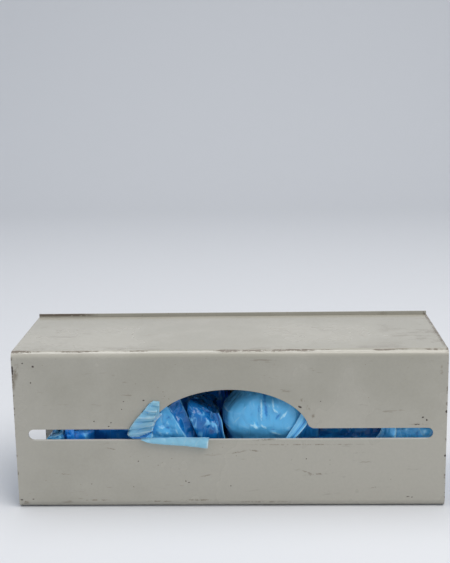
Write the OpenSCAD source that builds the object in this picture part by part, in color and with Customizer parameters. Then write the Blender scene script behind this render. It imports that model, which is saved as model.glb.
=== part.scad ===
// Wall dispenser for loose disposable gloves: one folded and spot-welded sheet of steel,
// open at both ends, with a long slot and a domed mouth in its front, and the gloves in it.
// X runs along the slot, -Y is the front, +Z is up. The origin is the middle of the base.

/* [Casing] */
// Length of the casing from end to end
casing_w = 355; // [330:1:400]
// Depth of the casing from its front face to its back face
casing_d = 120; // [105:1:150]
// Height of the top face above the base
casing_h = 135; // [128:1:170]
// Thickness of the steel sheet
sheet_t = 1.5; // [1:0.1:2.5]
// Inside radius of the three long bends
bend_r = 4.5; // [2:0.5:8]
// Height that the back panel stands above the top face
lip_h = 2.6; // [1:0.1:8]

/* [Welded seam] */
// Height of the flange that folds down inside the back panel
flange_h = 14; // [10:1:20]
// Inside radius of the flange's bend
flange_bend_r = 1.5; // [1:0.5:3]
// Number of spot welds along the seam
weld_count = 7; // [3:1:11]
// Diameter of a spot weld's mark
weld_d = 5; // [3:0.5:7]
// Depth of a spot weld's mark
weld_depth = 0.25; // [0.1:0.05:0.5]
// Distance from the end of the casing to the first weld
weld_inset = 22; // [12:1:40]

/* [Mouth] */
// Sheet left between each end of the slot and the end of the casing
slot_margin = 11; // [8:1:30]
// Height of the slot
slot_h = 9; // [7:0.5:14]
// Height of the slot's lower edge above the base
slot_z = 60; // [54:1:66]
// Half of the dome's width, at the middle line of the slot
dome_half_w = 66; // [56:1:75]
// Rise of the dome above the middle line of the slot
dome_rise = 38; // [30:1:46]
// Radius where the dome runs into the slot
dome_fillet = 6; // [3:0.5:9]

/* [Wall holes] */
// Distance between the two screw holes
hole_spacing = 90; // [60:1:110]
// Diameter of a screw hole
hole_d = 6; // [4:0.5:8]
// Height of the screw holes above the base
hole_z = 85; // [72:1:95]

/* [Gloves] */
// Gap between one crumpled glove and the next
glove_gap = 0.3; // [0.2:0.1:0.6]
// Height of the slot's lower edge above the bottom layer
bed_drop = 24; // [20:1:32]
// Depth of the row of gloves at the front
front_row_d = 60; // [50:1:70]
// Length of the casing left empty at its left end
left_free = 24; // [14:1:40]
// Length of the low glove at the left end of the slot
left_end_w = 22; // [16:1:30]
// Depth of that glove
left_end_d = 34; // [24:1:50]
// Length of the glove at the right end of the slot
right_end_w = 46; // [34:1:56]
// Width of the puffed glove that fills the right of the mouth
right_mouth_w = 76; // [66:1:80]
// Gap between the top of the dome and that glove
dome_air = 1.5; // [1:0.5:12]
// Step down from that glove's top to each lower one's top, in the row and behind it
heap_step = 3; // [1:0.5:5]
// Height that the gloves beside the mouth rise over the slot
slot_cover = 2; // [0.5:0.5:8]
// Height that the glove at the right end rises over them
end_rise = 4; // [1:0.5:12]
// Height of the low left glove over the slot's lower edge
left_end_rise = 4; // [2:0.5:7]
// Depth of a crumple, as a share of the glove's half width
crumple = 0.2; // [0.05:0.01:0.3]
// Width of the pulled glove where it leaves the heap
pulled_w = 28; // [22:1:30]
// Length of the pulled glove's cuff, lying on the front panel
cuff_len = 20; // [14:1:30]
// Height of the cuff at its wide end, beside the mouth
cuff_h = 31; // [24:1:36]
// Thickness of the cuff
cuff_t = 6; // [4:0.5:9]
// Length of the folded hem that hangs over the slot's lower edge
hem_len = 55; // [40:1:70]
// Height of the hem at its free end
hem_h = 7; // [5:0.5:10]
// Thickness of the folded hem
hem_t = 1.2; // [0.8:0.1:2]

/* [Hidden] */
$fn = 64;

steel_paint = [0.66, 0.65, 0.58];
glove_blue = [0.32, 0.62, 0.88];

// Faces of the folded sheet
front_y = -casing_d / 2;
back_y = casing_d / 2;
front_in = front_y + sheet_t;
back_in = back_y - sheet_t;
outer_r = bend_r + sheet_t;
flange_outer_r = flange_bend_r + sheet_t;
through = 1; // how far a cutter runs past a face
slot_mid_z = slot_z + slot_h / 2;
bed_count = 5; // gloves in the bottom layer

module quarter_bend(y, z, turn, radius) {
  // A quarter of a ring of sheet about the bend's centre, turned into its corner.
  translate([y, z]) rotate(turn) intersection() {
    difference() {
      circle(radius);
      circle(radius - sheet_t);
    }
    square(radius + through);
  }
}

module sheet_section() {
  // The folded sheet seen from its right end: Y across, Z up.
  bend_front = front_y + outer_r;
  bend_back = back_y - outer_r;
  flange_y = back_in - flange_outer_r;
  flange_z = casing_h - flange_outer_r;
  translate([front_y, outer_r]) square([sheet_t, casing_h - 2 * outer_r]);
  translate([bend_front, 0]) square([bend_back - bend_front, sheet_t]);
  translate([back_in, outer_r]) square([sheet_t, casing_h + lip_h - outer_r]);
  translate([bend_front, casing_h - sheet_t]) square([flange_y - bend_front, sheet_t]);
  translate([back_in - sheet_t, flange_z - flange_h]) square([sheet_t, flange_h]);
  quarter_bend(bend_front, outer_r, 180, outer_r);
  quarter_bend(bend_back, outer_r, 270, outer_r);
  quarter_bend(bend_front, casing_h - outer_r, 90, outer_r);
  quarter_bend(flange_y, flange_z, 0, flange_outer_r);
}

// Where the fillet's circle sits, so that it touches the slot's upper edge and the dome.
// Its centre lies fillet above that edge, on the dome's outline grown by the fillet.
fillet_rise = slot_h / 2 + dome_fillet;
fillet_x = (dome_half_w + dome_fillet) * sqrt(1 - pow(fillet_rise / (dome_rise + dome_fillet), 2));
fillet_start = atan2(fillet_rise * (dome_half_w + dome_fillet), fillet_x * (dome_rise + dome_fillet));

function dome_point(angle) = [dome_half_w * cos(angle), dome_rise * sin(angle)];

module mouth_outline() {
  // Slot with round ends and the dome above it, about the middle of the slot.
  half = casing_w / 2 - slot_margin - slot_h / 2;
  steps = 12;
  dome_steps = 48;
  // The fillet runs from the slot's edge round to where it meets the dome.
  meet = atan2(fillet_rise - dome_rise * sin(fillet_start), fillet_x - dome_half_w * cos(fillet_start));
  right_fillet = [for (i = [0:steps]) let (a = 270 - (90 - meet) * i / steps)
    [fillet_x + dome_fillet * cos(a), fillet_rise + dome_fillet * sin(a)]];
  dome = [for (i = [1:dome_steps - 1]) dome_point(fillet_start + (180 - 2 * fillet_start) * i / dome_steps)];
  left_fillet = [for (i = [steps:-1:0]) [-right_fillet[i].x, right_fillet[i].y]];
  for (side = [-1, 1]) translate([side * half, 0]) circle(slot_h / 2);
  translate([-half, -slot_h / 2]) square([2 * half, slot_h]);
  polygon(concat([[-fillet_x, 0], [fillet_x, 0]], right_fillet, dome, left_fillet));
}

module front_cut(depth) {
  // Runs a drawing of the front, X across and Z up, back through the front panel.
  translate([0, front_y + depth - through, 0]) rotate([90, 0, 0]) linear_extrude(depth) children();
}

module casing() {
  first_weld = -casing_w / 2 + weld_inset;
  weld_step = (casing_w - 2 * weld_inset) / (weld_count - 1);
  weld_z = casing_h - flange_outer_r - flange_h / 2;
  color(steel_paint) difference() {
    translate([-casing_w / 2, 0, 0]) rotate([90, 0, 90]) linear_extrude(casing_w) sheet_section();
    front_cut(sheet_t + 2 * through) translate([0, slot_mid_z]) mouth_outline();
    for (side = [-1, 1])
      translate([side * hole_spacing / 2, back_in - through, hole_z])
        rotate([-90, 0, 0]) cylinder(d = hole_d, h = sheet_t + 2 * through);
    for (i = [0:weld_count - 1])
      translate([first_weld + i * weld_step, back_y - weld_depth, weld_z])
        rotate([-90, 0, 0]) cylinder(d = weld_d, h = weld_depth + through);
  }
}

// A closed skin over rings of points, with a pole at each end. Each ring turns the same way.
module skin(rings, first_pole, last_pole) {
  n = len(rings[0]);
  m = len(rings);
  points = concat([for (ring = rings) each ring], [first_pole, last_pole]);
  sides = [for (j = [0:m - 2], i = [0:n - 1]) let (k = (i + 1) % n)
    each [[j * n + i, (j + 1) * n + i, j * n + k], [j * n + k, (j + 1) * n + i, (j + 1) * n + k]]];
  first_cap = [for (i = [0:n - 1]) [m * n, i, (i + 1) % n]];
  last_cap = [for (i = [0:n - 1]) [m * n + 1, (m - 1) * n + (i + 1) % n, (m - 1) * n + i]];
  polyhedron(points, concat(sides, first_cap, last_cap));
}

// The shape of a wave with its corners drawn out by the power.
function drawn(wave, power) = sign(wave) * pow(abs(wave), power);

// How far a fold draws the film in at that place round the glove. It is never over 1,
// and it is 1 in the middle of each side, where the glove meets its neighbours.
function fold_share(around, up, folds, twist) =
  1 - crumple * cos(up) * abs(sin(folds * around / 2 + twist * up));

module crumpled_glove(low, high, folds, twist, sides, rows, squareness = 0.6) {
  // One glove crumpled into the room between two corners, its folds running up to its poles.
  middle = (low + high) / 2;
  half = (high - low) / 2;
  rings = [for (j = [1:rows - 1]) let (up = -90 + 180 * j / rows)
    [for (i = [0:sides - 1]) let (
        around = 360 * i / sides,
        share = fold_share(around, up, folds, twist),
        belt = drawn(cos(up), squareness) * share
      )
      middle + [
        half.x * belt * drawn(cos(around), squareness),
        half.y * belt * drawn(sin(around), squareness),
        half.z * drawn(sin(up), squareness)
      ]]];
  color(glove_blue) skin(rings, middle - [0, 0, half.z], middle + [0, 0, half.z]);
}

// The room inside the casing for the gloves, less the gap to its walls
room_right = casing_w / 2 - glove_gap;
room_left = left_free - casing_w / 2;
room_front = front_in + glove_gap;
room_back = back_in - glove_gap;
room_floor = sheet_t + glove_gap;
bed_top = slot_z - bed_drop;
heap_floor = bed_top + glove_gap;
row_y = room_front + front_row_d;

module bed_glove(i) {
  // The bottom layer: gloves pressed side by side under the rest.
  w = (room_right - room_left) / bed_count;
  crumpled_glove([room_left + (i - 1) * w + glove_gap / 2, room_front, room_floor],
    [room_left + i * w - glove_gap / 2, room_back, bed_top], 8, 0.3 + 0.1 * i, 24, 10, 0.5);
}

// The mouth's gloves stand from its left to its right in the front row. The pulled glove
// has the room at its left.
mouth_split = dome_half_w - right_mouth_w;
mouth_left = -dome_half_w + pulled_w;
heap_top = slot_mid_z + dome_rise - dome_air;
slot_top = slot_z + slot_h + slot_cover;

module right_mouth_glove() {
  crumpled_glove([mouth_split + glove_gap, room_front, heap_floor],
    [dome_half_w - glove_gap, row_y, heap_top], 12, 0.15, 32, 14, 0.75);
}

module left_mouth_glove() {
  crumpled_glove([mouth_left + glove_gap, room_front, heap_floor],
    [mouth_split - glove_gap, row_y, heap_top - 2 * heap_step], 8, 0.6, 32, 14, 0.7);
}

module rear_left_glove() {
  crumpled_glove([-dome_half_w + glove_gap, row_y + glove_gap, heap_floor],
    [-glove_gap, room_back, heap_top - heap_step], 12, 0.35, 32, 14, 0.65);
}

module rear_right_glove() {
  crumpled_glove([glove_gap, row_y + glove_gap, heap_floor],
    [dome_half_w - glove_gap, room_back, heap_top - 3 * heap_step], 8, 0.45, 32, 14, 0.65);
}

module slot_left_glove() {
  crumpled_glove([room_left + left_end_w + glove_gap, room_front, heap_floor],
    [-dome_half_w - glove_gap, room_back, slot_top], 16, 0.4, 32, 14, 0.5);
}

module slot_left_end_glove() {
  crumpled_glove([room_left, room_front, heap_floor],
    [room_left + left_end_w - glove_gap, room_front + left_end_d, slot_z + left_end_rise],
    8, 0.7, 32, 14, 0.55);
}

module slot_right_glove() {
  crumpled_glove([dome_half_w + glove_gap, room_front, heap_floor],
    [room_right - right_end_w - glove_gap, room_back, slot_top], 12, 0.25, 32, 14, 0.5);
}

module slot_right_end_glove() {
  crumpled_glove([room_right - right_end_w + glove_gap, room_front, heap_floor],
    [room_right, room_back, slot_top + end_rise], 8, 0.55, 32, 14, 0.5);
}

// The pulled glove, as stations along it: its middle, and the half widths of its two sides
// there. It leaves the heap, passes through the left of the dome and lies on the panel.
cuff_y = front_y - glove_gap - cuff_t / 2;
neck_x = -dome_half_w + pulled_w / 2;
neck_z = slot_z + slot_h;
cuff_x = neck_x - pulled_w / 2 + 2;
neck_w = pulled_w / 2 - 5;
flat = [0, -cuff_t / 2, 0];
pulled_stations = [
  [[neck_x, room_front + pulled_w, neck_z - cuff_h / 2], [pulled_w / 2 - 1, 3, 0], [0, 0, cuff_h / 2]],
  [[neck_x, room_front + pulled_w / 2, neck_z - cuff_h / 4], [pulled_w / 2 - 2, 0, 0], [0, 0, cuff_h / 2]],
  [[neck_x, room_front + cuff_t, neck_z - 2], [neck_w, 0, 0], [0, 0, cuff_h / 3]],
  [[neck_x, front_y + sheet_t / 2, neck_z], [neck_w - 2, 0, 0], [0, 0, cuff_h / 4]],
  [[neck_x - cuff_t / 2, front_y - cuff_t / 3, neck_z + 2], [neck_w - 3, -1.5, 0], [0, 0, cuff_h / 4 + 1]],
  [[cuff_x, cuff_y, slot_z + cuff_h / 2], flat, [3, 0, cuff_h / 2]],
  [[cuff_x - cuff_len / 3, cuff_y, slot_z + cuff_h * 0.42], flat, [2, 0, cuff_h * 0.4]],
  [[cuff_x - cuff_len * 0.75, cuff_y, slot_z + cuff_h * 0.27], flat, [1, 0, cuff_h * 0.25]],
  [[cuff_x - cuff_len, cuff_y, slot_z + cuff_h * 0.2], flat * 0.7, [0, 0, cuff_h * 0.12]]
];

module pulled_glove() {
  sides = 24;
  rings = [for (s = pulled_stations) [for (i = [0:sides - 1]) let (
      around = 360 * i / sides,
      share = 1 - crumple / 2 * abs(sin(6 * around))
    )
    s[0] + s[1] * cos(around) * share + s[2] * sin(around) * share]];
  first = pulled_stations[0][0];
  last = pulled_stations[len(pulled_stations) - 1][0];
  color(glove_blue) {
    skin(rings, first + [0, cuff_t, 0], last - [cuff_t / 4, 0, 0]);
    hem();
  }
}

module hem() {
  // The folded hem of its cuff, which hangs over the slot's lower edge. Its left end is in the cuff.
  left = cuff_x - cuff_len / 2;
  root = cuff_h / 5;
  translate([left, cuff_y + hem_t / 2, slot_z]) rotate([90, 0, 0])
    linear_extrude(hem_t) polygon([
      [0, root / 3], [root / 3, root], [cuff_len * 0.7, root * 0.8],
      [hem_len, hem_t / 2], [hem_len, -hem_h], [root, -hem_t]
    ]);
}

casing();
pulled_glove();
left_mouth_glove();
right_mouth_glove();
rear_left_glove();
rear_right_glove();
slot_left_glove();
slot_left_end_glove();
slot_right_glove();
slot_right_end_glove();
bed_glove(1);  // bed_glove_1
bed_glove(2);  // bed_glove_2
bed_glove(3);  // bed_glove_3
bed_glove(4);  // bed_glove_4
bed_glove(5);  // bed_glove_5
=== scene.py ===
import math
import random

import bpy
import numpy as np
from mathutils import Matrix, Vector, noise


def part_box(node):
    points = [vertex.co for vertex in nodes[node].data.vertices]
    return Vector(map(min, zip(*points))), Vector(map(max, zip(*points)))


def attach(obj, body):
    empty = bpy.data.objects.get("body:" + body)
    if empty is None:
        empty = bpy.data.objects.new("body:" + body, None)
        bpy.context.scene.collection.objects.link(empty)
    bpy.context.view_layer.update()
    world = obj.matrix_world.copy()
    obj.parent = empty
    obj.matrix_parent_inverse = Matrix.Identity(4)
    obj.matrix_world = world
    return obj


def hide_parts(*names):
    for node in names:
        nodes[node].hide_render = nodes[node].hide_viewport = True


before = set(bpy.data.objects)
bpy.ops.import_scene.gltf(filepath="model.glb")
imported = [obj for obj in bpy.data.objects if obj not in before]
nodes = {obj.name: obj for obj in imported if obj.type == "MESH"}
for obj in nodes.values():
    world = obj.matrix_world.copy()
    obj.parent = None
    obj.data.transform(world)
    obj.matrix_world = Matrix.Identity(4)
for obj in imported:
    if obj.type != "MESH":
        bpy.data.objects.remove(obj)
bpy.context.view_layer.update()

# %% [markdown]
# The object is a wall dispenser for loose gloves. Its casing is one sheet of steel, folded,
# painted and then used for many years. The frame also holds one plain solid for each glove.
# A glove is really a bag of thin film, so each is modelled anew in the room that its solid
# holds.

# %% Names of the frame
MM = 0.001
PANEL_Y = -60.0
casing = nodes["casing"]
glove_nodes = sorted(name for name in nodes if name != "casing")
print("casing and", len(glove_nodes), "gloves")


def deselect():
    if bpy.context.object and bpy.context.object.mode != "OBJECT":
        bpy.ops.object.mode_set(mode="OBJECT")
    bpy.ops.object.select_all(action="DESELECT")


# %% [markdown]
# The camera stands where the photographer stood: a little to the right, above the casing, and
# looking down by twelve degrees. The lens and the turn come from the casing's own edges in the
# photograph, whose lines only meet in the right places from this one spot.

# %% Camera
CAMERA_PLACE = Vector((25.4, -881.2, 372.1)) * MM
LOOK_DOWN = math.radians(12.309)
LOOK_RIGHT = math.radians(-1.888)
LEAN = math.radians(-0.954)
LENS_PIXELS = 1055.65
FRAME_PIXELS = (450, 563)

camera_data = bpy.data.cameras.new("camera")
camera_data.sensor_width = 36
camera_data.lens = LENS_PIXELS * camera_data.sensor_width / max(FRAME_PIXELS)
camera = bpy.data.objects.new("camera", camera_data)
bpy.context.collection.objects.link(camera)
forward = Vector((
    math.sin(LOOK_RIGHT) * math.cos(LOOK_DOWN),
    math.cos(LOOK_RIGHT) * math.cos(LOOK_DOWN),
    -math.sin(LOOK_DOWN),
))
right = Vector((math.cos(LOOK_RIGHT), -math.sin(LOOK_RIGHT), 0))
up = right.cross(forward)
camera_right = right * math.cos(LEAN) + up * math.sin(LEAN)
camera_up = up * math.cos(LEAN) - right * math.sin(LEAN)
turn = Matrix((camera_right, camera_up, -forward)).transposed().to_4x4()
camera.matrix_world = Matrix.Translation(CAMERA_PLACE) @ turn
bpy.context.scene.camera = camera
print("lens", round(camera_data.lens, 1), "mm")


# %% [markdown]
# Every finish is a small network of shader nodes. These helpers keep the networks short to
# read: one adds a node and fills in its sockets, one does a sum, one maps a value to another
# range, and one blends two colours.

# %% Helpers for materials
def new_material(name):
    material = bpy.data.materials.new(name)
    material.use_nodes = True
    tree = material.node_tree
    tree.nodes.clear()
    output = tree.nodes.new("ShaderNodeOutputMaterial")
    return material, tree, output


def add(tree, kind, **sockets):
    """Add a node. A socket gets a number or colour, or the output that feeds it."""
    node = tree.nodes.new("ShaderNode" + kind)
    for name, value in sockets.items():
        place = int(name[1:]) if name[0] == "i" and name[1:].isdigit() else name.replace("_", " ")
        if isinstance(value, bpy.types.NodeSocket):
            tree.links.new(value, node.inputs[place])
        else:
            node.inputs[place].default_value = value
    return node


def maths(tree, operation, first, second=0.0, clamp=False):
    node = add(tree, "Math", i0=first, i1=second)
    node.operation = operation
    node.use_clamp = clamp
    return node.outputs[0]


def times(tree, first, second):
    return maths(tree, "MULTIPLY", first, second)


def ramp(tree, value, low, high, start=0.0, end=1.0):
    """A value that goes smoothly from start to end while the input goes from low to high."""
    node = add(tree, "MapRange", Value=value, From_Min=low, From_Max=high, To_Min=start, To_Max=end)
    node.interpolation_type = "SMOOTHSTEP"
    return node.outputs[0]


def blend_colour(tree, share, first, second):
    node = tree.nodes.new("ShaderNodeMix")
    node.data_type = "RGBA"
    for place, value in ((0, share), (6, first), (7, second)):
        if isinstance(value, bpy.types.NodeSocket):
            tree.links.new(value, node.inputs[place])
        else:
            node.inputs[place].default_value = value
    return node.outputs[2]


def noise_value(tree, place, scale, detail=3.0, roughness=0.5):
    return add(tree, "TexNoise", Vector=place, Scale=scale, Detail=detail, Roughness=roughness).outputs["Fac"]


# %% [markdown]
# A crumpled film glove is a flat bag with some air in it. Its folds can't be drawn by hand so
# that they look right, but they come by themselves when a flat bag is blown up: the rim has
# too much film for the new shape, so it puckers. Blender's cloth solver does this. It works
# best on things about a metre wide, so the bag is made ten times its size and shrunk after.

# %% Settling film with the cloth solver
SIM_SCALE = 10


def blend(first, second, share):
    return first + (second - first) * share


def smooth(share):
    share = min(max(share, 0.0), 1.0)
    return share * share * (3 - 2 * share)


def settle(piece, frames, pressure=0.0, growth=0.0, bending=0.05, held_share=0.0, seed=0, touch=True):
    """Run the cloth solver on a skin of film and keep the shape that it ends in."""
    held = piece.vertex_groups.new(name="held")
    count = len(piece.data.vertices)
    picked = random.Random(seed).sample(range(count), int(count * held_share))
    held.add(picked, 1.0, "REPLACE")
    modifier = piece.modifiers.new("film", "CLOTH")
    film = modifier.settings
    film.quality = 5
    film.mass = 0.1
    film.air_damping = 3
    film.tension_stiffness = 15
    film.compression_stiffness = 15
    film.shear_stiffness = 5
    film.bending_stiffness = bending
    film.shrink_min = -growth
    film.effector_weights.gravity = 0
    if picked:
        film.vertex_group_mass = "held"
    if pressure:
        film.use_pressure = True
        film.uniform_pressure_force = pressure
    modifier.collision_settings.use_collision = False
    modifier.collision_settings.use_self_collision = touch
    modifier.collision_settings.self_distance_min = 0.004
    modifier.point_cache.frame_start = 1
    modifier.point_cache.frame_end = frames
    for frame_number in range(1, frames + 1):
        bpy.context.scene.frame_set(frame_number)
    settled = piece.evaluated_get(bpy.context.evaluated_depsgraph_get())
    shape = bpy.data.meshes.new_from_object(settled)
    piece.modifiers.clear()
    piece.data = shape
    piece.vertex_groups.clear()
    bpy.context.scene.frame_set(1)


# %% Fitting a bag into the room of its solid
def pressed(share, hardness=5):
    """Press a coordinate, given as a share of the half room, against the wall of that room."""
    return share / (1 + abs(share) ** hardness) ** (1 / hardness)


def fit_room(piece, low, high, fullness):
    """Scale a bag to its room. A fuller bag is pressed flatter where it meets its neighbours."""
    points = [v.co.copy() for v in piece.data.vertices]
    lowest = Vector([min(p[i] for p in points) for i in range(3)])
    highest = Vector([max(p[i] for p in points) for i in range(3)])
    middle, half = (low + high) / 2, (high - low) / 2
    for vertex, point in zip(piece.data.vertices, points):
        for i in range(3):
            share = 2 * (point[i] - lowest[i]) / (highest[i] - lowest[i]) - 1
            vertex.co[i] = middle[i] + half[i] * pressed(share * fullness) / pressed(fullness)


# %% [markdown]
# Film is painted palest along a crest, as a painted highlight, and deepest in a valley, as
# painted shade where layers lie together. A shader can't see that, so each point stores how
# far it stands out, for the shader to read.

# %% Marking crests and valleys
FOLD_GAIN = 1.8


def mark_folds(piece):
    """Store how far each point stands out: over 0.5 on a crest, under it in a valley."""
    mesh = piece.data
    count = len(mesh.vertices)
    place = np.empty(count * 3)
    mesh.vertices.foreach_get("co", place)
    place = place.reshape(count, 3)
    outward = np.empty(count * 3)
    mesh.vertices.foreach_get("normal", outward)
    ends = np.empty(len(mesh.edges) * 2, dtype=np.int64)
    mesh.edges.foreach_get("vertices", ends)
    ends = ends.reshape(-1, 2)
    total = np.zeros((count, 3))
    number = np.zeros(count)
    for here, there in ((0, 1), (1, 0)):
        np.add.at(total, ends[:, here], place[ends[:, there]])
        np.add.at(number, ends[:, here], 1)
    apart = place - total / number[:, None]
    stands_out = (apart * outward.reshape(count, 3)).sum(axis=1)
    edge = np.linalg.norm(place[ends[:, 0]] - place[ends[:, 1]], axis=1).mean()
    fold = np.clip(0.5 + FOLD_GAIN * stands_out / edge, 0, 1)
    around = np.zeros(count)
    for here, there in ((0, 1), (1, 0)):
        np.add.at(around, ends[:, here], fold[ends[:, there]])
    fold = 0.6 * fold + 0.4 * around / number
    attribute = mesh.attributes.new("fold", "FLOAT", "POINT")
    attribute.data.foreach_set("value", fold)


def finish_film(piece, node):
    """Shade a film piece, and let it stand for its node."""
    for face in piece.data.polygons:
        face.use_smooth = True
    mark_folds(piece)
    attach(piece, "root")
    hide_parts(node)
    print(piece.name, len(piece.data.polygons), "faces")


# %% [markdown]
# The front of a glove gets the folds that the photograph shows, each a straight ridge or
# valley between two points. Its other sides get hollows from a noise, with sharp ridges left.

# %% Folds and hollows
HOLLOWS = ((30.0, 0.65), (12.0, 0.35))      # the size of the hollows, and their share of the depth
HOLLOW_STEEPNESS = 2.4
FRONT_SHARE = 0.12


def crease(piece, lines, room, front_y=-58.1, reach=14.0):
    """Fold the front of a film piece along lines, after it has gone back by room. Each line: the x
    and z of both its ends, how far it stands out (or in, below zero) and its half width, in mm."""
    count = len(piece.data.vertices)
    place = np.empty(count * 3)
    piece.data.vertices.foreach_get("co", place)
    place = place.reshape(count, 3) / MM
    lift = np.zeros(count)
    for start_x, start_z, end_x, end_z, height, half_width in lines:
        way = np.array([end_x - start_x, end_z - start_z], dtype=float)
        length = np.hypot(*way)
        way /= length
        apart = place[:, [0, 2]] - (start_x, start_z)
        along = apart @ way
        aside = np.abs(apart[:, 0] * way[1] - apart[:, 1] * way[0])
        window = np.clip(along / (0.4 * length), 0, 1) * np.clip((length - along) / (0.4 * length), 0, 1)
        lift += height * np.clip(1 - aside / half_width, 0, 1) * window
    in_front = np.clip((front_y + reach - place[:, 1]) / reach, 0, 1) * (place[:, 1] > PANEL_Y)
    place[:, 1] += (room - lift) * in_front
    behind = place[:, 1] > PANEL_Y + 1
    place[behind, 1] = np.maximum(place[behind, 1], front_y)
    piece.data.vertices.foreach_set("co", (place * MM).ravel())
    piece.data.update()


def crumple(piece, seed, depth):
    """Press hollows into a bag from all sides, so that sharp ridges stay between them. Its front
    is pressed less, because the photograph shows how that looks, and so are its top and bottom,
    because gloves lie on each other there."""
    piece.data.update()
    shift = Vector((seed * 4.3, 1.7 * seed, 0.9))
    outward = [vertex.normal.copy() for vertex in piece.data.vertices]
    lowest = [min(vertex.co[i] for vertex in piece.data.vertices) for i in range(3)]
    highest = [max(vertex.co[i] for vertex in piece.data.vertices) for i in range(3)]
    for vertex, normal in zip(piece.data.vertices, outward):
        p = vertex.co / MM
        pressed_in = 0.0
        for size, weight in HOLLOWS:
            pressed_in += weight * min(1.0, HOLLOW_STEEPNESS * abs(noise.noise(p / size + shift)))
        share = (FRONT_SHARE + (1 - FRONT_SHARE) * smooth((p.y + 52) / 12)) * (1 - 0.55 * abs(normal.z))
        vertex.co -= normal * depth * share * pressed_in * MM
        for i in range(3):
            vertex.co[i] = min(max(vertex.co[i], lowest[i]), highest[i])


def stray_creases(node, seed, number, height, half_width):
    """Fold lines that cross the front of a glove every way."""
    low, high = (Vector(corner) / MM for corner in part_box(node))
    draw = random.Random(seed)
    lines = []
    for _ in range(number):
        x, z = draw.uniform(low.x, high.x), draw.uniform(low.z, high.z)
        angle, length = draw.uniform(0, math.pi), draw.uniform(8, 26)
        dx, dz = length / 2 * math.cos(angle), length / 2 * math.sin(angle)
        size = draw.uniform(0.5, 1)
        out = height * size * draw.choice((1, 1, -1))
        lines.append((x - dx, z - dz, x + dx, z + dz, out, half_width * size))
    return lines


# %% [markdown]
# Each heaped glove starts as a ball pressed to a flat bag with a wavy rim. It is blown up,
# which gives it its puckers, and then fitted into the room of its solid.

# %% Making a heaped glove
def heaped_glove(
    node, seed, flat_axis, flatness, pressure, fullness,
    steps=16, mesh_level=5, rim=1.3, waviness=0.22, warp=0.5,
):
    low, high = (Vector(corner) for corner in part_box(node))
    half = (high - low) / 2 * SIM_SCALE
    deselect()
    bpy.ops.mesh.primitive_ico_sphere_add(subdivisions=mesh_level, radius=1)
    bag = bpy.context.object
    bag.name = "film_" + node
    shift = Vector((seed * 3.1, seed * 1.7, 0))
    for vertex in bag.data.vertices:
        p = vertex.co.copy()
        wave = rim * (1 + waviness * noise.noise(p * 1.6 + shift))
        size = [half[i] * wave for i in range(3)]
        size[flat_axis] = half[flat_axis] * flatness
        q = Vector([p[i] * size[i] for i in range(3)])
        q[flat_axis] += warp * half[flat_axis] * noise.noise(p * 1.3 - shift)
        vertex.co = q
    settle(bag, steps, pressure=pressure, seed=seed)
    fit_room(bag, low, high, fullness)
    return bag


# %% [markdown]
# A glove that has been pressed into the heap shows long sharp folds more than puckers. Its
# form is a ball squared off to its room, with two sets of folds that lean different ways, so
# that flat strips and triangles of film come between them. After that the cloth solver lets
# the film grow a little while some points are held, which buckles it into small creases.

# %% Curves through points
def along_points(points, share):
    """A smooth curve through evenly spaced points, at a share from 0 to 1 of its way."""
    place = share * (len(points) - 1)
    i = min(int(place), len(points) - 2)
    t = place - i
    before, start, end, after = (Vector(points[min(max(k, 0), len(points) - 1)]) for k in range(i - 1, i + 3))
    return 0.5 * (
        2 * start + (end - before) * t + (2 * before - 5 * start + 4 * end - after) * t ** 2
        + (3 * start - before - 3 * end + after) * t ** 3
    )


# %% Making a folded glove
AROUND = 72
ROWS = 26


def drawn(wave, power):
    """The shape of a wave with its corners drawn out by the power."""
    return math.copysign(abs(wave) ** power, wave)


def pleat(place, count, shift):
    """A row of sharp ridges, 1 on each crest and 0 between them."""
    return 1 - abs(2 * ((place * count + shift) % 1) - 1)


def loft(name, rings):
    """A closed skin over rings of points, in millimetres, with a pole at each end."""
    per_ring = len(rings[0])
    points = [p * MM for ring in rings for p in ring]
    faces = []
    for j in range(len(rings) - 1):
        for i in range(per_ring):
            k = (i + 1) % per_ring
            here, there = j * per_ring, (j + 1) * per_ring
            faces.append((here + i, there + i, there + k, here + k))
    for ring, base, turned in ((rings[0], 0, True), (rings[-1], (len(rings) - 1) * per_ring, False)):
        pole = len(points)
        points.append(sum(ring, Vector()) / per_ring * MM)
        for i in range(per_ring):
            k = (i + 1) % per_ring
            faces.append((pole, base + i, base + k) if turned else (pole, base + k, base + i))
    mesh = bpy.data.meshes.new(name)
    mesh.from_pydata(points, [], faces)
    piece = bpy.data.objects.new(name, mesh)
    bpy.context.collection.objects.link(piece)
    deselect()
    piece.select_set(True)
    bpy.context.view_layer.objects.active = piece
    bpy.ops.object.mode_set(mode="EDIT")
    bpy.ops.mesh.select_all(action="SELECT")
    bpy.ops.mesh.normals_make_consistent(inside=False)
    bpy.ops.object.mode_set(mode="OBJECT")
    return piece


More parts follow.
